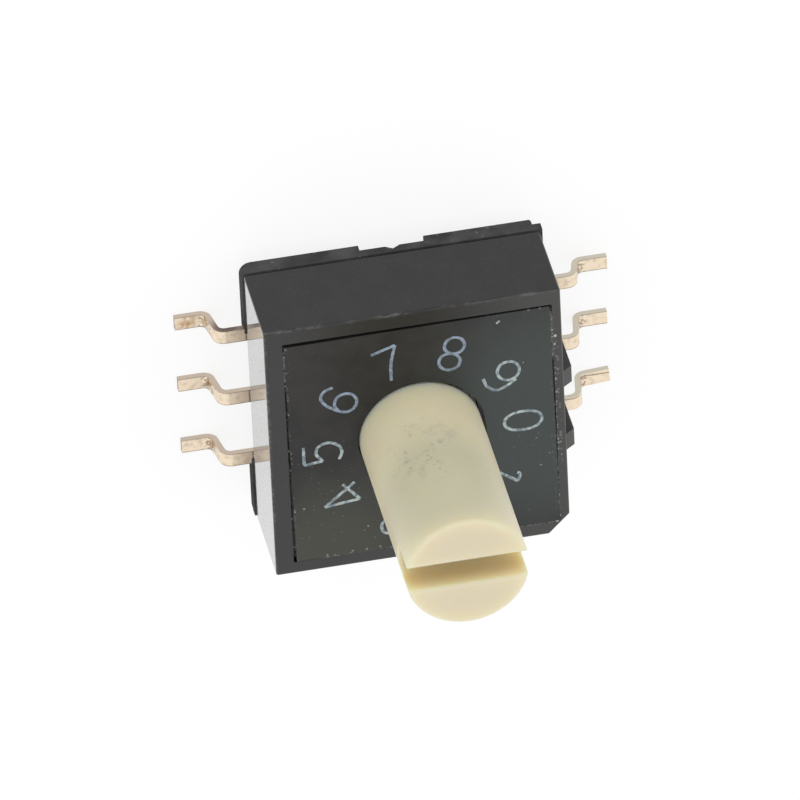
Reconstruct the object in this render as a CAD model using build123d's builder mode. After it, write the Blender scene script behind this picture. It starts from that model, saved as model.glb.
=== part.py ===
"""Rotary coded switch with ten positions, gull-wing leads and a tall slotted shaft.

Lengths are in millimetres and angles in degrees. The origin lies on the shaft axis in the plane of the
circuit board. +Z runs up the shaft, +X points at the digit 0 of the dial.
"""

import os
from collections import namedtuple
from math import cos, radians, sin

from build123d import *

os.makedirs("parts", exist_ok=True)

# Leads
lead_width = 0.5
lead_thickness = 0.2
lead_pitch = 2.54
lead_drop = 1.15
lead_span = 14.6
lead_riser_share = 0.408
lead_riser_lean = 0.2
lead_bend = 0.2
lead_bed = 0.1
bent_lead_lift = 0.38
bent_lead_turn = 3.5
right_row_back = 0.14
weld_pad = 0.9
weld_pad_margin = 0.12
common_pad_inset = 0.16

# Cover
cover_size = 10.0
cover_height = 3.4
cover_wall = 0.7
cover_roof = 0.9
cover_edge = 0.08
shaft_right_of_middle = 0.1
shaft_front_of_middle = 0.05
index_chamfer = 0.72
joint_chamfer = 0.07
cavity_corner = 0.9
rib_pitch = 2.6
rib_width = 0.65
rib_stand = 0.32
rib_slope = 0.25

# Dial plate, and the rim of the cover round it
rim_left = 0.61
rim_right = 0.31
rim_back = 0.56
rim_front = 0.46
dial_thickness = 0.4
dial_gap = 0.07
dial_twist = 0.4
dial_shift_right = 0.02
dial_shift_front = 0.03
dial_hole_gap = 0.1
dial_hole_right = 0.06
dial_hole_front = 0.05

# Base
base_stand = 0.12
base_left_stand = 0.05
pad_height = 0.33
pad_inset = 0.26
pad_reach = 0.3
pad_round = 0.4
pad_corner = 0.1
pad_edge = 0.08
pad_gap = 2.2
pad_gap_depth = 1.2
lead_gap = 5.2
lead_gap_step = 0.18
nick_width = 0.5
nick_height = 0.16
joint_groove = 0.07
joint_groove_depth = 0.2
lip_width = 0.4
lip_height = 0.5

# Rotor
shaft_radius = 2.07
shaft_length = 7.8
shaft_edge = 0.12
relief_depth = 0.2
relief_length = 0.55
relief_drop = 0.1
slot_width = 0.92
slot_depth = 1.5
flange_thickness = 1.15
pivot_radius = 0.6
pivot_reach = 0.8
position_count = 10
notch_depth = 0.22
notch_radius = 0.55

# Seal
seal_section = 0.53
seal_groove = 0.33
seal_gap = 0.01
seal_wall = 0.45

# Code disc and contact fingers
disc_thickness = 0.15
disc_margin = 0.07
track_rim = 0.12
finger_width = 0.34
finger_thickness = 0.1
finger_bend = 0.12
finger_weld = 0.3
finger_toe = 0.28
finger_gap = 0.03

# Detent springs
detent_room = 0.7
detent_thickness = 0.12
detent_bend = 0.2
detent_shoulder = 0.3
detent_half_bump = 0.55

# Fits, and how far a cut runs past what it cuts
running_clearance = 0.05
fit_clearance = 0.03
overrun = 1.0

# Heights above the circuit board
lead_top = lead_thickness + lead_drop
joint_height = lead_top + lead_bed
plate_bottom = lead_top - lead_thickness - lead_bed
pad_bottom = plate_bottom - pad_height
face_height = joint_height + cover_height
roof_height = face_height - cover_roof
seal_room = seal_section + 2 * seal_gap
seal_bottom = roof_height - seal_room
flange_top = seal_bottom - running_clearance
flange_bottom = flange_top - flange_thickness
lip_top = joint_height + lip_height
pivot_top = flange_bottom + pivot_reach
relief_top = face_height - relief_drop
relief_bottom = relief_top - relief_length
shaft_tip = face_height + shaft_length

# Distances of the walls from the shaft axis
cover_left = cover_size / 2 + shaft_right_of_middle
cover_right = cover_size / 2 - shaft_right_of_middle
cover_back = cover_size / 2 + shaft_front_of_middle
cover_front = cover_size / 2 - shaft_front_of_middle
base_left = cover_left + base_left_stand
base_right = cover_right + base_stand
cavity_half = cover_size / 2 - cover_wall
lip_outer = cavity_half - fit_clearance
lip_inner = lip_outer - lip_width
flange_radius = cavity_half - detent_room
lead_riser_offset = base_right + (lead_span / 2 - base_right) * lead_riser_share

# A weld pad keeps its margin from the side of the lip, and in the outer rows also from the lip's cut-off
# corner. The common one, in the middle row, lies a little farther in.
weld_offset_at_side = lip_inner - weld_pad_margin - weld_pad / 2
weld_row_reach = lead_pitch + right_row_back + weld_pad / 2
weld_offset_at_corner = 2 * lip_inner - cavity_corner - weld_pad_margin - weld_row_reach - weld_pad / 2
weld_offset = min(weld_offset_at_side, weld_offset_at_corner)
common_weld_offset = weld_offset_at_side - common_pad_inset

# Sizes that follow from the ones above
relief_radius = shaft_radius - relief_depth
neck_radius = shaft_radius - seal_groove
seal_inner_radius = neck_radius + seal_gap
seal_outer_radius = seal_inner_radius + seal_section + seal_gap
pivot_bore_radius = pivot_radius + running_clearance
disc_inner_radius = pivot_bore_radius + track_rim
disc_outer_radius = flange_radius - notch_depth - disc_margin
step_angle = 360 / position_count
half_step = step_angle / 2

# A box or cylinder placed by the middle of its underside, or of its top
on_top = (Align.CENTER, Align.CENTER, Align.MIN)
hanging = (Align.CENTER, Align.CENTER, Align.MAX)

# Each coded output: the sides where it has a lead, with its weld pad on the first of them, the row of the
# lead, how far the lead is bent up and by what angle sideways, the angle where its finger meets the disc and
# the weight of its bit.
Output = namedtuple("Output", "sides row lift turn angle weight")
left_side = -1
right_side = 1
outputs = {
    "common": Output((left_side, right_side), 0, 0, 0, 180, 0),
    "8": Output((right_side,), -1, 0, bent_lead_turn, 316, 8),
    "4": Output((left_side,), -1, 0, 0, 232, 4),
    "2": Output((right_side,), 1, bent_lead_lift, 0, 77, 2),
    "1": Output((left_side,), 1, 0, 0, 124, 1),
}
track_pitch = (disc_outer_radius - disc_inner_radius) / len(outputs)
track_starts = {}
for track_number, name in enumerate(outputs):
    track_starts[name] = disc_inner_radius + track_pitch * track_number


def bent_strip(points, bend, thickness, width, plane):
    """Strip along a line of points, thickened to the left of the line and centred on the plane.

    The bend is the radius on the inside of each corner.
    """
    lower = [Vector(*point) for point in points]
    ways = [(after - before).normalized() for before, after in zip(lower, lower[1:])]
    lefts = [Vector(-way.Y, way.X) for way in ways]
    upper = [lower[0] + lefts[0] * thickness]
    for corner, before, after in zip(lower[1:], lefts, lefts[1:]):
        upper.append(corner + (before + after) * (thickness / (1 + before.dot(after))))
    upper.append(lower[-1] + lefts[-1] * thickness)
    with BuildPart() as piece:
        with BuildSketch(plane):
            with BuildLine():
                Polyline(*lower, *reversed(upper), close=True)
            make_face()
            for number in range(1, len(ways)):
                turns_left = ways[number - 1].cross(ways[number]).Z > 0
                inner = upper[number] if turns_left else lower[number]
                outer = lower[number] if turns_left else upper[number]
                fillet(vertices().sort_by_distance(inner)[0], radius=bend)
                fillet(vertices().sort_by_distance(outer)[0], radius=bend + thickness)
        extrude(amount=width / 2, both=True)
    return piece.part


def row_place(output, side):
    """How far behind the shaft axis a lead on one side lies."""
    return output.row * lead_pitch + (right_row_back if side == right_side else 0)


def turned(piece, output, side):
    """A lead or its slot, turned about the place where the lead leaves the base."""
    exit_axis = Axis((side * base_right, row_place(output, side), 0), (0, 0, 1))
    return piece.rotate(exit_axis, output.turn)


def lead(output, side):
    """Lead on one side: flat in the base, down outside the wall and out along the board."""
    points = [
        (weld_offset if output.weight else 0, lead_top - lead_thickness),
        (lead_riser_offset, lead_top - lead_thickness),
        (lead_riser_offset + lead_riser_lean, output.lift),
        (lead_span / 2, output.lift),
    ]
    row_plane = Plane.XZ.offset(-row_place(output, side))
    strip = bent_strip(points, lead_bend, lead_thickness, lead_width, row_plane)
    return turned(strip if side == right_side else strip.mirror(Plane.YZ), output, side)


def weld_place(output):
    """Middle of the weld pad of a terminal, at the height of the circuit board."""
    side = output.sides[0]
    return Vector(side * (weld_offset if output.row else common_weld_offset), row_place(output, side), 0)


def weld_plate(output):
    """Square inner end of a terminal, flush with the floor of the base."""
    with BuildPart() as piece:
        with Locations(weld_place(output) + Vector(0, 0, lead_top)):
            Box(weld_pad, weld_pad, lead_thickness, align=hanging)
    return piece.part


def lead_slot(output, side):
    """Room for the flat part of a lead in the base."""
    inner_end = weld_offset if output.weight else 0
    length = cover_left + overrun - inner_end
    with BuildPart() as piece:
        with Locations((side * (inner_end + length / 2), row_place(output, side), lead_top)):
            Box(length, lead_width, lead_thickness, align=hanging)
    return turned(piece.part, output, side)


def finger(output, radius):
    """Spring finger from a weld pad up to the underside of the code disc, at a radius."""
    start = weld_place(output)
    tip = Vector(radius * cos(radians(output.angle)), radius * sin(radians(output.angle)), 0)
    reach = (tip - start).length
    way = (tip - start).normalized()
    crest = flange_bottom - finger_gap - finger_thickness
    points = [
        (-finger_weld, lead_top),
        (finger_weld, lead_top),
        (reach, crest),
        (reach + finger_toe, crest - finger_toe),
    ]
    upright = Plane(origin=start, x_dir=way, z_dir=Vector(way.Y, -way.X, 0))
    return bent_strip(points, finger_bend, finger_thickness, finger_width, upright)


def sector(inner_radius, outer_radius, start, size):
    """Sketch of a piece of a ring, from the start angle through the size angle."""
    with BuildSketch() as piece:
        with BuildLine():
            outer = CenterArc((0, 0), outer_radius, start, size)
            inner = CenterArc((0, 0), inner_radius, start, size)
            Line(outer @ 0, inner @ 0)
            Line(outer @ 1, inner @ 1)
        make_face()
    return piece.sketch


def off_runs(weight):
    """First position and length of each run of positions at which the bit is off."""
    off = [not position & weight for position in range(position_count)]
    runs = []
    for position in range(position_count):
        if off[position] and not off[position - 1]:
            length = 1
            while off[(position + length) % position_count]:
                length += 1
            runs.append((position, length))
    return runs


def block(left, right, front, back):
    """Sketch of a rectangle given by how far its four sides lie from the shaft axis."""
    with BuildSketch() as piece:
        with Locations(((right - left) / 2, (back - front) / 2)):
            Rectangle(left + right, front + back)
    return piece.sketch


def dial_outline(gap):
    """Sketch of the opening for the dial plate in the cover, made smaller by a gap all round."""
    return block(
        cover_left - rim_left - gap,
        cover_right - rim_right - gap,
        cover_front - rim_front - gap,
        cover_back - rim_back - gap,
    )


def base_outline(inset):
    """Sketch of the base with its index corner, made smaller by an inset all round."""
    with BuildSketch() as piece:
        add(block(base_left - inset, base_right - inset, cover_front - inset, cover_back - inset))
        chamfer(vertices().group_by(Axis.Y)[0].sort_by(Axis.X)[-1], length=index_chamfer)
    return piece.sketch


def room(half, height, bottom):
    """Square block with its corners cut off, for the hollow of the cover and the lip that fits it."""
    with BuildPart() as piece:
        with BuildSketch(Plane.XY.offset(bottom)):
            Rectangle(2 * half, 2 * half)
            chamfer(vertices(), length=cavity_corner)
        extrude(amount=height)
    return piece.part


# Terminals
for name, output in outputs.items():
    with BuildPart() as terminal:
        for side in output.sides:
            add(lead(output, side))
        add(weld_plate(output))
    terminal.part.label = f"terminal_{name}"
    export_step(terminal.part, f"parts/terminal_{name}.step")

# Contact fingers
for name, output in outputs.items():
    with BuildPart() as contact:
        add(finger(output, track_starts[name] + track_pitch / 2))
    contact.part.label = f"contact_{name}"
    export_step(contact.part, f"parts/contact_{name}.step")

# Base
with BuildPart() as base:
    with BuildSketch(Plane.XY.offset(plate_bottom)):
        add(base_outline(0))
    extrude(amount=joint_height - joint_groove - plate_bottom)
    with BuildSketch(Plane.XY.offset(joint_height - joint_groove)):
        add(base_outline(joint_groove_depth))
    extrude(amount=joint_groove)
    with BuildSketch(Plane.XY.offset(pad_bottom)):
        add(block(base_left, base_right - pad_inset, cover_front + pad_reach, cover_back))
        fillet(vertices().group_by(Axis.X)[-1], radius=pad_corner)
        fillet(vertices().group_by(Axis.X)[0], radius=pad_round)
        with Locations((0, cover_back), (0, -(cover_front + pad_reach))):
            Rectangle(pad_gap, 2 * pad_gap_depth, mode=Mode.SUBTRACT)
        with Locations((-base_left, 0), (base_right, 0)):
            Rectangle(2 * pad_gap_depth, lead_gap, mode=Mode.SUBTRACT)
    extrude(amount=pad_height)
    fillet(base.faces().group_by(Axis.Z)[0].edges(), radius=pad_edge)
    with Locations((-cover_left, 0, plate_bottom)):
        Box(2 * lead_gap_step, lead_gap, joint_height - plate_bottom, align=on_top, mode=Mode.SUBTRACT)
    with BuildSketch(Plane.XZ.offset(-cover_back)):
        Polygon(
            (-nick_width / 2, plate_bottom),
            (nick_width / 2, plate_bottom),
            (0, plate_bottom + nick_height),
            align=None,
        )
    extrude(amount=nick_width, both=True, mode=Mode.SUBTRACT)
    add(room(lip_outer, lip_height, joint_height))
    add(room(lip_inner, lip_top - lead_top, lead_top), mode=Mode.SUBTRACT)
    with Locations((0, 0, lead_top)):
        Cylinder(pivot_radius, pivot_top - lead_top, align=on_top)
    for output in outputs.values():
        for side in output.sides:
            add(lead_slot(output, side), mode=Mode.SUBTRACT)
        add(weld_plate(output), mode=Mode.SUBTRACT)
base.part.label = "base"
export_step(base.part, "parts/base.step")

# Cover
with BuildPart() as cover:
    with BuildSketch(Plane.XY.offset(joint_height)):
        add(block(cover_left, cover_right, cover_front, cover_back))
        chamfer(vertices().group_by(Axis.Y)[0].sort_by(Axis.X)[-1], length=index_chamfer)
    extrude(amount=cover_height)
    fillet(cover.edges().filter_by(Axis.Z), radius=cover_edge)
    fillet(cover.faces().sort_by(Axis.Z)[-1].edges(), radius=cover_edge)
    chamfer(cover.faces().sort_by(Axis.Z)[0].edges(), length=joint_chamfer)
    with BuildSketch(Plane.XY.offset(face_height - dial_thickness)):
        add(dial_outline(0))
    extrude(amount=dial_thickness + overrun, mode=Mode.SUBTRACT)
    add(room(cavity_half, roof_height - joint_height, joint_height), mode=Mode.SUBTRACT)
    with Locations((0, 0, roof_height)):
        Cylinder(seal_outer_radius + seal_wall, seal_room, align=hanging)
        Cylinder(seal_outer_radius, seal_room, align=hanging, mode=Mode.SUBTRACT)
        Cylinder(shaft_radius + running_clearance, cover_roof, align=on_top, mode=Mode.SUBTRACT)
    for rib_row in (-rib_pitch / 2, rib_pitch / 2):
        with BuildSketch(Plane.XZ.offset(-rib_row)):
            Polygon(
                (cover_right - cover_edge, joint_height),
                (cover_right + rib_stand, joint_height),
                (cover_right + rib_stand, face_height - cover_edge - rib_slope),
                (cover_right, face_height - cover_edge),
                (cover_right - cover_edge, face_height - cover_edge),
                align=None,
            )
        extrude(amount=rib_width / 2, both=True)
cover.part.label = "cover"
export_step(cover.part, "parts/cover.step")

# Dial plate, a little askew in its opening
with BuildPart() as dial_plate:
    with BuildSketch(Plane.XY.offset(face_height - dial_thickness)):
        with Locations((dial_shift_right, -dial_shift_front)):
            add(dial_outline(dial_gap), rotation=dial_twist)
        with Locations((dial_hole_right, -dial_hole_front)):
            Circle(shaft_radius + dial_hole_gap, mode=Mode.SUBTRACT)
    extrude(amount=dial_thickness)
dial_plate.part.label = "dial_plate"
export_step(dial_plate.part, "parts/dial_plate.step")

# Code disc: each bit has a track, with a window wherever the bit is off
with BuildPart() as code_disc:
    with BuildSketch(Plane.XY.offset(flange_bottom)):
        Circle(disc_outer_radius)
        Circle(disc_inner_radius, mode=Mode.SUBTRACT)
        for name, output in outputs.items():
            window_inner = track_starts[name] + track_rim / 2
            window_outer = track_starts[name] + track_pitch - track_rim / 2
            for first, length in off_runs(output.weight):
                start = output.angle + step_angle * first - half_step
                add(sector(window_inner, window_outer, start, step_angle * length), mode=Mode.SUBTRACT)
    extrude(amount=disc_thickness)
code_disc.part.label = "code_disc"
export_step(code_disc.part, "parts/code_disc.step")

# Rotor
with BuildPart() as rotor:
    for radius, bottom, top in (
        (flange_radius, flange_bottom, flange_top),
        (neck_radius, flange_top, roof_height),
        (shaft_radius, roof_height, relief_bottom),
        (relief_radius, relief_bottom, relief_top),
        (shaft_radius, relief_top, shaft_tip),
    ):
        with Locations((0, 0, bottom)):
            Cylinder(radius, top - bottom, align=on_top)
    with Locations((0, 0, shaft_tip - slot_depth)):
        Box(2 * flange_radius, slot_width, slot_depth + overrun, align=on_top, mode=Mode.SUBTRACT)
    fillet(rotor.faces().group_by(Axis.Z)[-1].edges(), radius=shaft_edge)
    with Locations((0, 0, flange_bottom)):
        Cylinder(pivot_bore_radius, pivot_reach + running_clearance, align=on_top, mode=Mode.SUBTRACT)
        with PolarLocations(flange_radius - notch_depth + notch_radius, position_count, start_angle=90):
            Cylinder(notch_radius, flange_thickness, align=on_top, mode=Mode.SUBTRACT)
    add(code_disc.part, mode=Mode.SUBTRACT)
rotor.part.label = "rotor"
export_step(rotor.part, "parts/rotor.step")

# Shaft seal
with BuildPart() as shaft_seal:
    with Locations((0, 0, roof_height - seal_room / 2)):
        Torus(seal_inner_radius + seal_section / 2, seal_section / 2)
shaft_seal.part.label = "shaft_seal"
export_step(shaft_seal.part, "parts/shaft_seal.step")

# Detent springs, between the walls of the cover and the notches of the rotor
detent_end = cavity_half - cavity_corner - fit_clearance
detent_tip = flange_radius - notch_depth + running_clearance + detent_thickness
detent_points = [
    (detent_end, cavity_half),
    (detent_half_bump, flange_radius + detent_shoulder),
    (0, detent_tip),
    (-detent_half_bump, flange_radius + detent_shoulder),
    (-detent_end, cavity_half),
]
detent_height = flange_top - lip_top
detent_plane = Plane.XY.offset(lip_top + detent_height / 2)
for place, turn in (("back", 0), ("front", 180)):
    with BuildPart() as detent_spring:
        spring = bent_strip(detent_points, detent_bend, detent_thickness, detent_height, detent_plane)
        add(spring.rotate(Axis.Z, turn))
    detent_spring.part.label = f"detent_spring_{place}"
    export_step(detent_spring.part, f"parts/detent_spring_{place}.step")
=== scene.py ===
"""Looks of a rotary coded switch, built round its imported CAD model.

Lengths are in millimetres and become metres where they enter the scene. Colours are linear.
"""

from math import atan2, cos, radians, sin

import bmesh
import bpy
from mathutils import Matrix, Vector, noise


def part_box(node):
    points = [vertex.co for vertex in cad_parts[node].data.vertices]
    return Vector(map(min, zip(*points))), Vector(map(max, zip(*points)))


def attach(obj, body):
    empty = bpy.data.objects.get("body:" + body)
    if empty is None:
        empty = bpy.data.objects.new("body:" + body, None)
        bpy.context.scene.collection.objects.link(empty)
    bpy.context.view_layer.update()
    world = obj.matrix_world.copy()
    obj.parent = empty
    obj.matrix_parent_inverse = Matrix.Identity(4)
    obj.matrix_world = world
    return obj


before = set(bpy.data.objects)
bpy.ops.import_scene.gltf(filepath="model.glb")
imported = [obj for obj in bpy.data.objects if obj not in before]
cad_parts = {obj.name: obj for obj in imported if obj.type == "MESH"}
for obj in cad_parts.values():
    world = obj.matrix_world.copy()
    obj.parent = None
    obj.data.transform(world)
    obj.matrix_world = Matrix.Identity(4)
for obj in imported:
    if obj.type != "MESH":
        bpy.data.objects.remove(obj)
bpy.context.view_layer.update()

mm = 0.001

# Sockets of a mix node by number, because those for numbers and for colours have the same names
number_first, number_second, number_result = 2, 3, 0
colour_first, colour_second, colour_result = 6, 7, 2

# Detail of a noise: how many times finer patches are laid over its own
least_detail = 1
plain_detail = 2
more_detail = 3
most_detail = 4

# Camera, light and floor
camera_place = (-81.81, 358.257, 477.898)
camera_turn = (-36.1925, -11.4285, -2.3342)
camera_lens = 813.78
camera_sensor = 36.0
camera_reach = 10000.0
sky_strength = 0.95
seen_sky_strength = 1.0
lamp_place = (-110.0, 290.0, 395.0)
lamp_size = 300.0
lamp_watts = 0.15
floor_size = 3000.0
floor_glow = 0.84
floor_shade_share = 0.18
floor_share = 0.85

# Places of the CAD model that the surfaces follow
cover_low, cover_high = (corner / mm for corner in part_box("cover"))
dial_low, dial_high = (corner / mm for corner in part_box("dial_plate"))
dial_face = dial_high.z
dial_hole_reach = 2.5
face_margin = 0.01
lead_pitch = 2.54
lead_half_width = 0.25
lead_bend_place = 6.36
right_row_back = 0.14

# In the values of the surfaces below
# - a span is a pair of values of a noise: a look starts at the first and is full at the second
# - a facing is such a pair for how far a face looks along an axis
# - a spot has a place, the reach within which it is full and the reach at which it ends
# - specks and flecks have a spacing, a radius and the share of the places that hold one
# - a share says how strong a look is at its strongest
# - a roughness is a pair, for the least and the most of a noise, and a relief is the strength of fine bumps

# Black plastic of the cover and the dial plate
plastic_skin = {
    "Specular IOR Level": 0.38,
    "Coat Roughness": 0.08,
    "Sheen Weight": 0.25,
    "Sheen Roughness": 0.25,
}
mottle_size = 0.9
mottle_span = (0.3, 0.7)
grain_size = 0.05
grain_depth = 0.004
grain_span = (0.58, 0.75)
grain_share = 0.1
grain_light = (0.06, 0.06, 0.062)
polished_facing = (-0.6, -0.9)
pit_size = 0.08
smooth_span = (0.65, 0.4)
pit_coat_share = 0.65
crumb_light = (0.45, 0.45, 0.43)

# Cover
cover_dark = (0.004, 0.004, 0.0042)
cover_light = (0.009, 0.009, 0.009)
cover_roughness = (0.25, 0.35)
polished_roughness = 0.1
cover_relief = 0.12
# Faces that look up are lighter, more so to the right and least round the middle of the back rim
upward_facing = (0.1, 0.6)
upward_left = (0.037, 0.036, 0.037)
upward_right = (0.055, 0.054, 0.053)
upward_back_middle = (0.019, 0.0188, 0.0165)
dark_rim_spot = ((-0.2, 4.8, dial_face), 0.6, 5.0)
scuff_size = 0.1
scuff_stretch = (2.5, 1, 1)
scuff_span = (0.4, 0.6)
scuff_patch_size = 0.9
scuff_patch_span = (0.35, 0.6)
scuff_reach = 0.13
rib_scuff_share = 0.3
scuff_light = (0.12, 0.12, 0.117)
rim_specks = (0.13, 0.075, 0.7)
rim_speck_reach = 0.26
rim_speck_share = 0.5
crumby_rim_spot = ((4.6, 0.4, dial_face), 1.6, 3.6)
joint_specks = (0.13, 0.075, 0.4)
joint_speck_reach = 0.06
joint_speck_share = 0.4
stray_speck_share = 0.015

# Dial plate
dial_dark = (0.013, 0.013, 0.013)
dial_light = (0.025, 0.023, 0.022)
dial_roughness = (0.34, 0.46)
dial_relief = 0.15
cool_spot = ((4.5, 0.1, dial_face), 2.0, 6.2)
cool_tint = (0.042, 0.053, 0.052)
olive_spot = ((-3.2, -4.4, dial_face), 1.0, 4.2)
olive_tint = (0.047, 0.05, 0.038)
edge_specks = (0.13, 0.075, 0.3)
edge_speck_reach = 0.16
edge_speck_share = 0.25
dial_specks = (0.22, 0.035, 0.25)
dial_speck_share = 0.18
clean_half_speck_share = 0.2
clean_half_end_share = 0.5
specky_half_start_share = 0.25

# Single crumbs on the dial plate and its rim: place, radius and share
dial_crumbs = [
    ((2.73, 4.07), 0.05, 1.0),
    ((2.79, 4.12), 0.05, 1.0),
    ((3.55, 2.3), 0.03, 0.7),
    ((3.88, -0.88), 0.04, 0.3),
    ((4.0, -2.02), 0.045, 0.4),
    ((4.31, -1.58), 0.04, 0.3),
    ((-4.41, 1.6), 0.05, 0.45),
    ((-4.42, 0.55), 0.045, 0.35),
    ((-4.4, 0.0), 0.05, 0.45),
    ((-4.4, -0.2), 0.045, 0.4),
    ((-4.05, -2.35), 0.05, 0.5),
    ((-4.36, -2.42), 0.04, 0.6),
    ((-1.92, -3.45), 0.045, 0.45),
    ((-2.05, -3.6), 0.035, 0.3),
    ((-2.75, -2.88), 0.03, 0.2),
    ((-3.35, -4.39), 0.045, 0.4),
    ((-2.49, -4.38), 0.045, 0.45),
    ((-2.01, -4.39), 0.045, 0.5),
    ((-1.55, -4.37), 0.05, 0.4),
]
rim_crumbs = [
    ((4.66, 3.19), 0.07, 1.0),
    ((4.63, 2.86), 0.05, 0.8),
    ((4.58, -0.13), 0.05, 0.5),
    ((4.6, -0.56), 0.045, 0.4),
    ((4.58, -1.18), 0.05, 0.5),
]

# Base
base_skin = {"Specular IOR Level": 0.02}
base_dark = (0.056, 0.054, 0.054)
base_light = (0.1, 0.097, 0.097)
base_roughness = (0.75, 0.9)
base_relief = 0.5
base_flecks = (0.13, 0.075, 0.12)
base_fleck_share = 0.6
base_fleck_light = (0.2, 0.195, 0.185)

# Ivory plastic of the rotor
ivory_skin = {"Coat Weight": 0.2, "Coat Roughness": 0.3, "Subsurface Weight": 1.0}
ivory_depth = 1.0
ivory_depth_shares = (1.0, 0.8, 0.45)
ivory_roughness = (0.35, 0.5)
ivory_relief = 0.1
ivory_pink = (0.82, 0.735, 0.525)
ivory_green = (0.82, 0.77, 0.555)
# Painted shade: darker ivory for the side toward the tip and for the rounded edges
ivory_painted_shade = (0.62, 0.595, 0.43)
# Painted light: lighter ivory towards the root of the shaft
ivory_root_light = (0.91, 0.83, 0.575)
# Painted shade: darker ivory on faces that look along the shaft, its end
ivory_end_shade = (0.72, 0.655, 0.485)
# Painted shade: darker, yellower ivory in the slot
ivory_slot_shade = (0.68, 0.56, 0.31)
ivory_smudge = (0.4, 0.39, 0.31)
tint_size = 2.5
tint_span = (0.35, 0.65)
tip_shade_spot = ((-0.35, 2.1, 10.2), 1.4, 3.9)
root_light_reach = 2.2
slot_place = 11.9
slot_reach = 0.9
slot_half_width = 0.5
slot_edge = 0.46
end_shade_facing = (0.5, 0.9)
# Painted shade on the rounded edges between the side and the end of the shaft
edge_first_facing = (0.1, 0.4)
edge_last_facing = (0.98, 0.85)
edge_shade_share = 0.4
smudge_spot = ((-0.7, 1.95, 8.3), 0.4, 2.3)
smudge_patch_size = 0.8
smudge_patch_span = (0.4, 0.65)
smudge_size = 0.3
smudge_span = (0.4, 0.8)
smudge_share = 0.6
smudge_specks = (0.16, 0.09, 0.7)
smudge_speck_share = 0.8

# Metal
stain_size = 0.2
stain_span = (0.45, 0.7)
brush_stretch = (4, 1, 1)
metal_roughness = (0.2, 0.4)
metal_relief = 0.2
contact_bright = (0.8, 0.58, 0.26)
contact_dull = (0.62, 0.4, 0.17)
steel_bright = (0.6, 0.6, 0.61)
steel_dull = (0.42, 0.42, 0.43)

# Plating of the leads
lead_roughness = (0.25, 0.45)
lead_relief = 0.3
plating_bright = (0.9, 0.76, 0.58)
plating_dull = (0.72, 0.6, 0.46)
plating_brown = (0.43, 0.32, 0.25)
# Painted shade on the side faces of the leads, for the left row and for the right row
plating_left_side_shade = (0.6, 0.5, 0.41)
plating_right_side_shade = (0.62, 0.57, 0.47)
plating_outline = (0.2, 0.15, 0.12)
plating_crack_and_shade = (0.16, 0.12, 0.1)
plating_rust = (0.5, 0.27, 0.13)
lead_flecks = (0.12, 0.03, 0.3)
lead_fleck_share = 0.6
# Painted shade of the leads beside the cover wall
wall_shade_reach = 0.7
wall_shade_share = 0.5
rust_spots = [
    ((-6.9, 2.5, 0.2), 0, 0.5),
    ((-6.3, 0.0, 0.3), 0, 0.25),
    ((-6.3, -2.54, 0.3), 0, 0.25),
]
rust_span = (0.35, 0.6)
rust_share = 0.8
crack_size = 0.1
crack_span = (0.42, 0.56)
crack_reach = 0.6
crack_share = 0.6
outline_reach = 0.05
outline_share = 0.8
side_shade_facing = (0.6, 0.9)
# Painted shade where the sides of the back left lead meet the wall
wall_side_shade_spot = ((-5.7, 2.75, 1.1), 0.2, 0.8)
cut_off_facing = (0.99, 0.997)

# Rubber of the seal
rubber_dark = (0.012, 0.012, 0.012)
rubber_light = (0.022, 0.022, 0.022)
rubber_roughness = (0.6, 0.75)
rubber_relief = 0.5

# Dust in the gap round the dial plate: its banks have a place, a reach and a fill share
dust_skin = {"Specular IOR Level": 0.0}
dust_dark = (0.045, 0.045, 0.045)
dust_light = (0.15, 0.15, 0.143)
dust_roughness = (0.85, 0.95)
dust_relief = 0.5
lint_span = (0.35, 0.6)
dust_flecks = (0.12, 0.075, 0.3)
dust_fleck_share = 0.8
dust_width = 0.1
dust_bite = 0.015
dust_step = 0.03
dust_shallow = 0.003
dust_deep = 0.3
dust_bottom = 0.35
dust_coarse_size = 0.13
dust_fine_size = 0.045
dust_contrast = 3.0
corner_decimals = 3
dust_banks = [
    ((4.55, 3.75), 0.8, 1.2),
    ((4.55, 2.9), 1.1, 1.1),
    ((4.6, 0.5), 2.2, 0.38),
    ((4.6, -2.0), 2.0, 0.38),
    ((4.6, -4.2), 1.3, 1.0),
    ((1.5, -4.5), 5.0, 1.6),
    ((-2.8, -4.5), 1.6, 1.2),
    ((-4.5, 3.4), 1.3, 0.9),
    ((-4.5, 1.6), 1.0, 0.5),
    ((-4.5, -0.2), 0.8, 0.55),
    ((2.8, 4.4), 1.3, 0.36),
]

# Ink of the digits
ink_skin = {"Specular IOR Level": 0.3}
ink_dark = (0.17, 0.21, 0.26)
ink_blue = (0.3, 0.37, 0.47)
ink_pale = (0.46, 0.54, 0.53)
ink_blue_spot = ((-1.0, 3.2, dial_face), 2.3, 4.5)
ink_patch_size = 0.16
ink_patch_span = (0.35, 0.65)
ink_roughness = (0.55, 0.7)
ink_relief = 0.3

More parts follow.
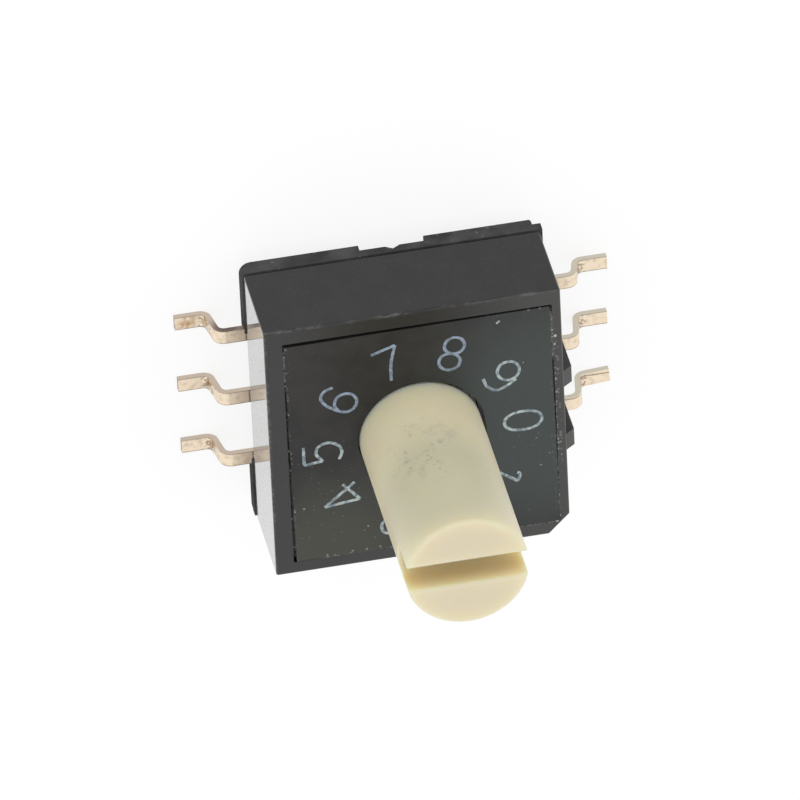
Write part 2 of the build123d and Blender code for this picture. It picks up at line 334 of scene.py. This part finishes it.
# Digits of the dial: each stroke is a smooth line through its points, given to the right of the digit's
# own upright and along it from the shaft axis
position_count = 10
stroke_width = 0.112
stroke_height_share = 0.2
stroke_wander = 0.012
stroke_wander_size = 0.09
stroke_wander_seed = 1
stroke_step_count = 12
stroke_side_count = 2
closed, open_ended = True, False
digits = {
    0: [(closed, [(0.075, 4.095), (0.452, 3.46), (0.075, 2.825), (-0.302, 3.46)])],
    1: [
        (open_ended, [(0.15, 2.75), (0.17, 4.08)]),
        (open_ended, [(0.17, 4.08), (-0.12, 3.93), (-0.1, 3.86)]),
    ],
    2: [
        (open_ended, [
            (-0.36, 3.72), (-0.2, 3.98), (0.06, 4.04), (0.32, 3.86), (0.3, 3.56), (0.02, 3.2), (-0.37, 2.79),
        ]),
        (open_ended, [(-0.37, 2.79), (0.4, 2.79)]),
    ],
    3: [
        (open_ended, [(-0.3, 3.9), (0.04, 4.08), (0.29, 3.86), (0.27, 3.62), (-0.02, 3.46)]),
        (open_ended, [(-0.02, 3.46), (0.31, 3.28), (0.33, 2.98), (0.02, 2.77), (-0.34, 2.9)]),
    ],
    4: [
        (open_ended, [(0.02, 4.12), (0.1, 2.77)]),
        (open_ended, [(0.02, 4.12), (-0.57, 3.07)]),
        (open_ended, [(-0.57, 3.07), (0.32, 3.12)]),
    ],
    5: [
        (open_ended, [(0.175, 3.967), (-0.558, 3.967)]),
        (open_ended, [(-0.558, 3.967), (-0.49, 3.34)]),
        (open_ended, [(-0.49, 3.34), (-0.08, 3.55), (0.2, 3.3), (0.13, 2.88), (-0.2, 2.68), (-0.51, 2.78)]),
    ],
    6: [
        (closed, [(-0.03, 3.405), (0.345, 3.03), (-0.03, 2.655), (-0.405, 3.03)]),
        (open_ended, [(-0.405, 3.03), (-0.43, 3.3), (-0.37, 3.71), (-0.25, 3.9), (0.04, 3.93), (0.29, 3.77)]),
    ],
    7: [
        (open_ended, [(-0.37, 3.83), (0.48, 3.84)]),
        (open_ended, [(0.48, 3.84), (0.1, 3.17), (-0.12, 2.54)]),
    ],
    8: [
        (closed, [(0.15, 3.97), (0.49, 3.62), (0.15, 3.31), (-0.19, 3.62)]),
        (closed, [(0.16, 3.31), (0.52, 3.0), (0.16, 2.65), (-0.2, 3.0)]),
    ],
    9: [
        (closed, [(0.125, 4.035), (0.5, 3.66), (0.125, 3.285), (-0.25, 3.66)]),
        (open_ended, [(0.575, 3.64), (0.557, 3.19), (0.45, 2.9), (0.147, 2.77), (-0.23, 2.86)]),
    ],
}


class Surface:
    """A Principled material with short ways to add nodes. Its places and sizes are in millimetres."""

    def __init__(self, name, constants=None):
        self.material = bpy.data.materials.new(name)
        self.material.use_nodes = True
        self.tree = self.material.node_tree
        self.shader = self.tree.nodes["Principled BSDF"]
        for socket, value in (constants or {}).items():
            self.shader.inputs[socket].default_value = value
        metres = self.tree.nodes.new("ShaderNodeTexCoord").outputs["Object"]
        self.place = self.vector("DIVIDE", metres, (mm, mm, mm))
        self.x, self.y, self.z = self.parts(self.place)
        normal = self.tree.nodes.new("ShaderNodeNewGeometry").outputs["Normal"]
        self.facing_x, self.facing_y, self.facing_z = self.parts(normal)

    def feed(self, socket, value):
        """Link a socket to another one, or give it a plain value."""
        if isinstance(value, bpy.types.NodeSocket):
            self.tree.links.new(value, socket)
        elif socket.type == "RGBA":
            socket.default_value = (*value, 1)
        else:
            socket.default_value = value

    def add(self, kind, inputs, **settings):
        """New node with its settings, and with a socket or a plain value at each of the inputs."""
        node = self.tree.nodes.new(kind)
        for name, value in settings.items():
            setattr(node, name, value)
        for socket, value in inputs.items():
            self.feed(node.inputs[socket], value)
        return node

    def parts(self, vector):
        """The three parts of a vector, along the axes."""
        return self.add("ShaderNodeSeparateXYZ", {"Vector": vector}).outputs

    def math(self, operation, *values):
        """Result of an operation on plain numbers or sockets."""
        return self.add("ShaderNodeMath", dict(enumerate(values)), operation=operation).outputs[0]

    def vector(self, operation, first, second):
        """Result of an operation on two vectors."""
        node = self.add("ShaderNodeVectorMath", {0: first, 1: second}, operation=operation)
        return node.outputs["Value" if operation == "DISTANCE" else "Vector"]

    def noise(self, size, detail=plain_detail, stretch=(1, 1, 1)):
        """Noise from 0 to 1 with patches of a size, drawn out along the axes by the stretch."""
        place = self.vector("DIVIDE", self.place, [size * share for share in stretch])
        inputs = {"Vector": place, "Scale": 1.0, "Detail": detail}
        return self.add("ShaderNodeTexNoise", inputs).outputs["Fac"]

    def step(self, value, start, end):
        """0 at the start, 1 at the end and smooth between them, whichever of the two is larger."""
        ends = {"Value": value, "From Min": start, "From Max": end, "To Min": 0.0, "To Max": 1.0}
        if start > end:
            ends.update({"From Min": end, "From Max": start, "To Min": 1.0, "To Max": 0.0})
        return self.add("ShaderNodeMapRange", ends, interpolation_type="SMOOTHSTEP").outputs["Result"]

    def both(self, first, *others):
        """Where all of the looks are."""
        for other in others:
            first = self.math("MULTIPLY", first, other)
        return first

    def either(self, first, *others):
        """Where any of the looks is."""
        for other in others:
            first = self.math("MAXIMUM", first, other)
        return first

    def near(self, value, edge, reach):
        """1 at an edge, falling to 0 at a reach from it."""
        return self.step(self.math("ABSOLUTE", self.math("SUBTRACT", value, edge)), reach, 0)

    def spot(self, centre, inner, outer):
        """1 within the inner radius of a point, falling to 0 at the outer one."""
        return self.step(self.vector("DISTANCE", self.place, centre), outer, inner)

    def specks(self, spacing, radius, share, spread="3D"):
        """1 in small specks, spread in space or over the XY plane.

        A share of the cells, each about a spacing wide, holds one.
        """
        inputs = {"Vector": self.place, "Scale": 1 / spacing}
        cells = self.add("ShaderNodeTexVoronoi", inputs, voronoi_dimensions=spread)
        chance, size, _ = self.add("ShaderNodeSeparateColor", {"Color": cells.outputs["Color"]}).outputs
        distance = self.math("DIVIDE", cells.outputs["Distance"], size)
        speck_edge = radius / spacing
        speck = self.step(distance, speck_edge, speck_edge / 2)
        return self.both(speck, self.math("LESS_THAN", chance, share))

    def crumbs(self, places):
        """Spots on the face of the dial, each as strong as its share."""
        spots = []
        for (x, y), radius, share in places:
            spots.append(self.both(self.spot((x, y, dial_face), radius / 2, radius), share))
        return spots

    def mix(self, share, first, second):
        """Colour between two others."""
        inputs = {"Factor": share, colour_first: first, colour_second: second}
        return self.add("ShaderNodeMix", inputs, data_type="RGBA").outputs[colour_result]

    def between(self, share, first, second):
        """Number between two others."""
        inputs = {"Factor": share, number_first: first, number_second: second}
        return self.add("ShaderNodeMix", inputs).outputs[number_result]

    def finish(self, colour, roughness, height, relief):
        """Join up colour, roughness and a height that makes fine relief."""
        inputs = {"Height": height, "Strength": relief, "Distance": grain_depth * mm}
        bumpy = self.add("ShaderNodeBump", inputs).outputs["Normal"]
        self.feed(self.shader.inputs["Base Color"], colour)
        self.feed(self.shader.inputs["Roughness"], roughness)
        self.feed(self.shader.inputs["Normal"], bumpy)
        self.feed(self.shader.inputs["Coat Normal"], bumpy)
        return self.material


def black_plastic(name, dark, light):
    """Start of a moulded plastic: mottled, with a fine grain, and with a smooth, pitted skin on its left."""
    surface = Surface(name, plastic_skin)
    mottle = surface.noise(mottle_size, most_detail)
    grain = surface.noise(grain_size)
    smooth = surface.step(surface.noise(pit_size, more_detail), *smooth_span)
    polished = surface.step(surface.facing_x, *polished_facing)
    coat = surface.both(polished, surface.between(smooth, pit_coat_share, 1))
    surface.feed(surface.shader.inputs["Coat Weight"], coat)
    colour = surface.mix(surface.step(mottle, *mottle_span), dark, light)
    grainy = surface.both(surface.step(grain, *grain_span), grain_share)
    colour = surface.mix(grainy, colour, grain_light)
    return surface, colour, mottle, grain, polished


def housing_plastic():
    """Plastic of the cover: lighter where it looks up, scuffed at its edges and ribs, and crumby at rim and
    joint.
    """
    surface, colour, mottle, grain, polished = black_plastic("housing_plastic", cover_dark, cover_light)
    # Lighter where the cover looks up, more so to the right and least round the middle of the back rim
    upward = surface.mix(surface.step(surface.x, cover_low.x, cover_high.x), upward_left, upward_right)
    upward = surface.mix(surface.spot(*dark_rim_spot), upward, upward_back_middle)
    colour = surface.mix(surface.step(surface.facing_z, *upward_facing), colour, upward)
    at_top = surface.near(surface.z, cover_high.z, scuff_reach)
    at_back = surface.near(surface.y, cover_high.y, scuff_reach)
    at_left = surface.near(surface.x, cover_low.x, scuff_reach)
    at_rib = surface.both(surface.near(surface.x, cover_high.x, scuff_reach), rib_scuff_share)
    worn = surface.either(surface.both(at_top, surface.either(at_back, at_left)), at_rib)
    scuff = surface.step(surface.noise(scuff_size, more_detail, scuff_stretch), *scuff_span)
    patch = surface.step(surface.noise(scuff_patch_size, least_detail), *scuff_patch_span)
    colour = surface.mix(surface.both(worn, scuff, patch), colour, scuff_light)
    beside_dial = surface.near(surface.x, dial_high.x, rim_speck_reach)
    crumby_rim = surface.both(beside_dial, at_top, surface.spot(*crumby_rim_spot), rim_speck_share)
    on_rim = surface.both(crumby_rim, surface.specks(*rim_specks, "2D"))
    at_joint = surface.both(surface.near(surface.z, cover_low.z, joint_speck_reach), joint_speck_share)
    strewn = surface.both(surface.either(at_joint, stray_speck_share), surface.specks(*joint_specks))
    crumbs = surface.either(on_rim, strewn, *surface.crumbs(rim_crumbs))
    colour = surface.mix(crumbs, colour, crumb_light)
    roughness = surface.between(polished, surface.between(mottle, *cover_roughness), polished_roughness)
    return surface.finish(colour, roughness, grain, cover_relief)


def dial_plastic():
    """Plastic of the dial plate: tinted in two places, crumby at its edges and specked with dust."""
    surface, colour, mottle, grain, _ = black_plastic("dial_plastic", dial_dark, dial_light)
    for spot, tint in ((cool_spot, cool_tint), (olive_spot, olive_tint)):
        colour = surface.mix(surface.spot(*spot), colour, tint)
    at_left = surface.near(surface.x, dial_low.x, edge_speck_reach)
    at_right = surface.near(surface.x, dial_high.x, edge_speck_reach)
    at_front = surface.near(surface.y, dial_low.y, edge_speck_reach)
    at_back = surface.near(surface.y, dial_high.y, edge_speck_reach)
    on_right = surface.step(surface.x, 0, dial_high.x)
    at_edge = surface.either(at_left, at_right, at_front, surface.both(at_back, on_right))
    crumbs = surface.both(at_edge, surface.specks(*edge_specks, "2D"), edge_speck_share)
    clean_half_end = dial_high.y * clean_half_end_share
    specky_half_start = dial_low.y * specky_half_start_share
    specky_half = surface.step(surface.y, clean_half_end, specky_half_start)
    specky = surface.both(surface.either(specky_half, clean_half_speck_share), dial_speck_share)
    strewn = surface.both(specky, surface.specks(*dial_specks, "2D"))
    colour = surface.mix(surface.either(crumbs, strewn, *surface.crumbs(dial_crumbs)), colour, crumb_light)
    return surface.finish(colour, surface.between(mottle, *dial_roughness), grain, dial_relief)


def base_plastic():
    """Dull, flecked plastic of the base."""
    surface = Surface("base_plastic", base_skin)
    mottle = surface.noise(mottle_size, most_detail)
    colour = surface.mix(surface.step(mottle, *mottle_span), base_dark, base_light)
    flecks = surface.both(surface.specks(*base_flecks), base_fleck_share)
    colour = surface.mix(flecks, colour, base_fleck_light)
    roughness = surface.between(mottle, *base_roughness)
    return surface.finish(colour, roughness, surface.noise(grain_size), base_relief)


def ivory_plastic():
    """Plastic of the rotor, which light enters: smudged on one side, with painted shade toward its tip, on
    its end, at its rounded edges and, yellower, in its slot, and painted light at its root.
    """
    depth = {"Subsurface Radius": ivory_depth_shares, "Subsurface Scale": ivory_depth * mm}
    surface = Surface("ivory_plastic", ivory_skin | depth)
    tint = surface.noise(tint_size)
    colour = surface.mix(surface.step(tint, *tint_span), ivory_pink, ivory_green)
    # Painted shade: a darker patch on the side of the shaft toward its tip
    colour = surface.mix(surface.spot(*tip_shade_spot), colour, ivory_painted_shade)
    # Painted light: the shaft lighter towards its root
    colour = surface.mix(surface.step(surface.z, dial_face + root_light_reach, dial_face), colour, ivory_root_light)
    # Painted shade in the slot: darker and yellower between its walls
    from_middle = surface.math("ABSOLUTE", surface.y)
    between_walls = surface.step(from_middle, slot_half_width, slot_edge)
    in_slot = surface.both(surface.near(surface.z, slot_place, slot_reach), between_walls)
    colour = surface.mix(in_slot, colour, ivory_slot_shade)
    # Painted shade: faces that look along the shaft, its end, darker
    colour = surface.mix(surface.step(surface.facing_z, *end_shade_facing), colour, ivory_end_shade)
    # Painted shade: the rounded edges between the side and the end darker
    edge_first = surface.step(surface.facing_z, *edge_first_facing)
    edge_last = surface.step(surface.facing_z, *edge_last_facing)
    colour = surface.mix(surface.both(edge_first, edge_last, edge_shade_share), colour, ivory_painted_shade)
    patch = surface.step(surface.noise(smudge_patch_size), *smudge_patch_span)
    smudge = surface.both(surface.step(surface.noise(smudge_size, least_detail), *smudge_span), smudge_share)
    specks = surface.both(surface.specks(*smudge_specks), smudge_speck_share)
    smudged = surface.both(patch, surface.spot(*smudge_spot), surface.either(smudge, specks))
    colour = surface.mix(smudged, colour, ivory_smudge)
    roughness = surface.between(tint, *ivory_roughness)
    return surface.finish(colour, roughness, surface.noise(grain_size, more_detail), ivory_relief)


def plating(name, bright, dull):
    """Start of a plated or bare metal: dull in patches, and with a brushed grain."""
    surface = Surface(name, {"Metallic": 1.0})
    stain = surface.noise(stain_size, most_detail)
    colour = surface.mix(surface.step(stain, *stain_span), bright, dull)
    return surface, colour, stain, surface.noise(grain_size, more_detail, brush_stretch)


def metal(name, bright, dull):
    """Plain metal of the inner pieces."""
    surface, colour, stain, grain = plating(name, bright, dull)
    return surface.finish(colour, surface.between(stain, *metal_roughness), grain, metal_relief)


def lead_metal():
    """Plating of the leads: flecked, rusty in spots, cracked at the bend and bare where it was cut, with
    painted shade beside the wall and on its sides.
    """
    surface, colour, stain, grain = plating("lead_plating", plating_bright, plating_dull)
    out = surface.math("ABSOLUTE", surface.x)
    on_right = surface.step(surface.x, -lead_pitch, lead_pitch)
    row = surface.math("SUBTRACT", surface.y, surface.both(on_right, right_row_back))
    from_middle = surface.math("ABSOLUTE", surface.math("WRAP", row, lead_pitch / 2, -lead_pitch / 2))
    flecks = surface.both(surface.specks(*lead_flecks), lead_fleck_share)
    colour = surface.mix(flecks, colour, plating_brown)
    # Painted shade: the leads darker within a reach of the cover wall
    painted_wall_shade = surface.both(surface.near(out, -cover_low.x, wall_shade_reach), wall_shade_share)
    colour = surface.mix(painted_wall_shade, colour, plating_brown)
    rusty = surface.step(surface.noise(stain_size, more_detail), *rust_span)
    for spot in rust_spots:
        rust = surface.both(surface.spot(*spot), rusty, rust_share)
        colour = surface.mix(rust, colour, plating_rust)
    at_bend = surface.near(out, lead_bend_place, crack_reach)
    cracks = surface.both(at_bend, surface.noise(crack_size, most_detail))
    cracked = surface.both(surface.step(cracks, *crack_span), crack_share)
    colour = surface.mix(cracked, colour, plating_crack_and_shade)
    at_side = surface.near(from_middle, lead_half_width, outline_reach)
    outline = surface.both(at_side, surface.facing_z, outline_share)
    colour = surface.mix(outline, colour, plating_outline)
    # Painted shade: the side faces of the leads darker
    shaded_sides = surface.step(surface.math("ABSOLUTE", surface.facing_y), *side_shade_facing)
    colour = surface.mix(shaded_sides, colour, surface.mix(on_right, plating_left_side_shade, plating_right_side_shade))
    # Painted shade where the sides of the back left lead meet the wall
    colour = surface.mix(surface.both(surface.spot(*wall_side_shade_spot), shaded_sides), colour, plating_crack_and_shade)
    cut_off = surface.step(surface.math("ABSOLUTE", surface.facing_x), *cut_off_facing)
    colour = surface.mix(cut_off, colour, plating_outline)
    return surface.finish(colour, surface.between(stain, *lead_roughness), grain, lead_relief)


def rubber():
    """Grainy black rubber."""
    surface = Surface("seal_rubber")
    grain = surface.noise(grain_size, more_detail)
    colour = surface.mix(grain, rubber_dark, rubber_light)
    return surface.finish(colour, surface.between(grain, *rubber_roughness), grain, rubber_relief)


def dust():
    """Grey lint with pale flecks."""
    surface = Surface("gap_dust", dust_skin)
    lint = surface.noise(dust_fine_size, more_detail)
    colour = surface.mix(surface.step(lint, *lint_span), dust_dark, dust_light)
    flecks = surface.both(surface.specks(*dust_flecks), dust_fleck_share)
    colour = surface.mix(flecks, colour, crumb_light)
    return surface.finish(colour, surface.between(lint, *dust_roughness), lint, dust_relief)


def ink():
    """Patchy ink, bluer at the back of the dial."""
    surface = Surface("dial_ink", ink_skin)
    patch = surface.noise(ink_patch_size, more_detail)
    ink_light = surface.mix(surface.spot(*ink_blue_spot), ink_pale, ink_blue)
    colour = surface.mix(surface.step(patch, *ink_patch_span), ink_dark, ink_light)
    return surface.finish(colour, surface.between(patch, *ink_roughness), patch, ink_relief)


def dress(node, material):
    """Give a CAD node its material."""
    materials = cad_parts[node].data.materials
    materials.clear()
    materials.append(material)


def put(name, data):
    """New object in the scene."""
    thing = bpy.data.objects.new(name, data)
    bpy.context.scene.collection.objects.link(thing)
    return thing


def stroke_lines():
    """The strokes of all digits as round lines in the plane of the dial, in millimetres."""
    lines = bpy.data.curves.new("dial_digit_lines", "CURVE")
    lines.dimensions = "3D"
    lines.bevel_depth = stroke_width / 2
    lines.bevel_resolution = stroke_side_count
    lines.resolution_u = stroke_step_count
    lines.use_fill_caps = True
    for digit, strokes in digits.items():
        angle = radians(-360 / position_count * digit)
        outward = Vector((cos(angle), sin(angle), 0))
        right = Vector((sin(angle), -cos(angle), 0))
        for is_closed, points in strokes:
            spline = lines.splines.new("BEZIER")
            spline.bezier_points.add(len(points) - 1)
            spline.use_cyclic_u = is_closed
            for knot, (across, radius) in zip(spline.bezier_points, points):
                knot.co = right * across + outward * radius
                knot.handle_left_type = "AUTO"
                knot.handle_right_type = "AUTO"
    return lines


def dial_digits():
    """All digits as one mesh of flat, slightly uneven strokes, lying on the dial plate."""
    drawing = put("dial_digit_lines", stroke_lines())
    graph = bpy.context.evaluated_depsgraph_get()
    mesh = bpy.data.meshes.new_from_object(drawing.evaluated_get(graph))
    bpy.data.objects.remove(drawing)
    noise.seed_set(stroke_wander_seed)
    for vertex in mesh.vertices:
        wander = noise.noise_vector(vertex.co / stroke_wander_size) * stroke_wander
        height = dial_face + vertex.co.z * stroke_height_share
        vertex.co = Vector((vertex.co.x + wander.x, vertex.co.y + wander.y, height)) * mm
    mesh.shade_smooth()
    mesh.materials.clear()
    mesh.materials.append(ink())
    piece = put("dial_digits", mesh)
    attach(piece, "housing")


def dial_corners():
    """Outer corners of the face of the dial plate, in order round the shaft."""
    corners = {}
    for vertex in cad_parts["dial_plate"].data.vertices:
        place = vertex.co / mm
        on_face = place.z > dial_face - face_margin
        if on_face and max(abs(place.x), abs(place.y)) > dial_hole_reach:
            corners[round(atan2(place.y, place.x), corner_decimals)] = place
    return [corners[angle] for angle in sorted(corners)]


def dust_level(place):
    """How far a place in the gap is filled, from 0 to 1."""
    fill = 0
    for (x, y), reach, share in dust_banks:
        away = (Vector((x, y, place.z)) - place).length / reach
        fill = max(fill, share * max(0, 1 - away ** 2))
    coarse = noise.noise(place / dust_coarse_size)
    fine = noise.noise(place / dust_fine_size)
    level = (1 + dust_contrast * (2 * fill + coarse + fine - 1)) / 2
    return min(max(level, 0), 1)


def dust_section(inner, outer):
    """The four corners of the dust across the gap: its uneven top and its flat bottom."""
    section = []
    for edge in (inner, outer):
        depth = dust_deep + (dust_shallow - dust_deep) * dust_level(edge)
        section.append(Vector((edge.x, edge.y, dial_face - depth)))
    for edge in (outer, inner):
        section.append(Vector((edge.x, edge.y, dial_face - dust_bottom)))
    return section


def gap_dust():
    """Ring of dust of uneven height in the gap between the dial plate and the cover."""
    outline = dial_corners()
    mesh = bmesh.new()
    rings = []
    for start, end in zip(outline, outline[1:] + outline[:1]):
        along = (end - start).normalized()
        outward = Vector((along.y, -along.x, 0))
        step_count = max(1, round((end - start).length / dust_step))
        for step in range(step_count):
            inner = start.lerp(end, step / step_count) - outward * dust_bite
            section = dust_section(inner, inner + outward * dust_width)
            rings.append([mesh.verts.new(corner * mm) for corner in section])
    for before, after in zip(rings, rings[1:] + rings[:1]):
        for number in range(len(before)):
            mesh.faces.new((before[number], after[number], after[number - 1], before[number - 1]))
    bmesh.ops.recalc_face_normals(mesh, faces=mesh.faces)
    data = bpy.data.meshes.new("gap_dust")
    mesh.to_mesh(data)
    mesh.free()
    data.materials.append(dust())
    piece = put("gap_dust", data)
    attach(piece, "housing")


def seen_rays(tree):
    """Socket that is 1 for what the camera sees, also in a mirror or through glass."""
    rays = tree.nodes.new("ShaderNodeLightPath")
    seen = rays.outputs["Is Camera Ray"]
    for kind in ("Is Glossy Ray", "Is Transmission Ray"):
        larger = tree.nodes.new("ShaderNodeMath")
        larger.operation = "MAXIMUM"
        tree.links.new(seen, larger.inputs[0])
        tree.links.new(rays.outputs[kind], larger.inputs[1])
        seen = larger.outputs[0]
    return seen


def floor():
    """White floor that keeps a soft shadow."""
    half = floor_size / 2 * mm
    corners = [(-half, -half, 0), (half, -half, 0), (half, half, 0), (-half, half, 0)]
    mesh = bpy.data.meshes.new("floor")
    mesh.from_pydata(corners, [], [(0, 1, 2, 3)])
    material = bpy.data.materials.new("floor_white")
    material.use_nodes = True
    tree = material.node_tree
    tree.nodes.clear()
    plain = tree.nodes.new("ShaderNodeBsdfDiffuse")
    plain.inputs["Color"].default_value = (floor_share, floor_share, floor_share, 1)
    shade = tree.nodes.new("ShaderNodeBsdfDiffuse")
    shade.inputs["Color"].default_value = (floor_shade_share, floor_shade_share, floor_shade_share, 1)
    glow = tree.nodes.new("ShaderNodeEmission")
    glow.inputs["Strength"].default_value = floor_glow
    bright = tree.nodes.new("ShaderNodeAddShader")
    tree.links.new(shade.outputs[0], bright.inputs[0])
    tree.links.new(glow.outputs[0], bright.inputs[1])
    choice = tree.nodes.new("ShaderNodeMixShader")
    tree.links.new(seen_rays(tree), choice.inputs[0])
    tree.links.new(plain.outputs[0], choice.inputs[1])
    tree.links.new(bright.outputs[0], choice.inputs[2])
    output = tree.nodes.new("ShaderNodeOutputMaterial")
    tree.links.new(choice.outputs[0], output.inputs["Surface"])
    mesh.materials.append(material)
    put("floor", mesh)


def sky():
    """White all round, and a little weaker as a light than as a background."""
    world = bpy.data.worlds.new("sky")
    bpy.context.scene.world = world
    world.use_nodes = True
    tree = world.node_tree
    background = tree.nodes["Background"]
    background.inputs["Color"].default_value = (1, 1, 1, 1)
    strength = tree.nodes.new("ShaderNodeMix")
    strength.inputs[number_first].default_value = sky_strength
    strength.inputs[number_second].default_value = seen_sky_strength
    tree.links.new(seen_rays(tree), strength.inputs["Factor"])
    tree.links.new(strength.outputs[number_result], background.inputs["Strength"])


def lamp():
    """Large soft lamp near the camera and unseen by it, aimed at the part."""
    light = bpy.data.lights.new("lamp", "AREA")
    light.size = lamp_size * mm
    light.energy = lamp_watts
    place = put("lamp", light)
    place.location = Vector(lamp_place) * mm
    place.rotation_euler = (-place.location).to_track_quat("-Z", "Y").to_euler()
    place.visible_camera = False


def camera():
    """Camera with a long lens, at the photograph's angle."""
    lens = bpy.data.cameras.new("camera")
    lens.lens = camera_lens
    lens.sensor_width = camera_sensor
    lens.clip_end = camera_reach * mm
    place = put("camera", lens)
    place.location = Vector(camera_place) * mm
    place.rotation_euler = [radians(turn) for turn in camera_turn]
    bpy.context.scene.camera = place


camera()
sky()
lamp()
floor()
dial_digits()
gap_dust()

dress("cover", housing_plastic())
dress("dial_plate", dial_plastic())
dress("base", base_plastic())
dress("shaft_seal", rubber())
dress("rotor", ivory_plastic())
lead_plating = lead_metal()
contact_plating = metal("contact_plating", contact_bright, contact_dull)
spring_steel = metal("spring_steel", steel_bright, steel_dull)
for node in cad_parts:
    if node.startswith("terminal"):
        dress(node, lead_plating)
    if node.startswith("contact") or node == "code_disc":
        dress(node, contact_plating)
    if node.startswith("detent"):
        dress(node, spring_steel)

bpy.context.scene.view_settings.view_transform = "Standard"
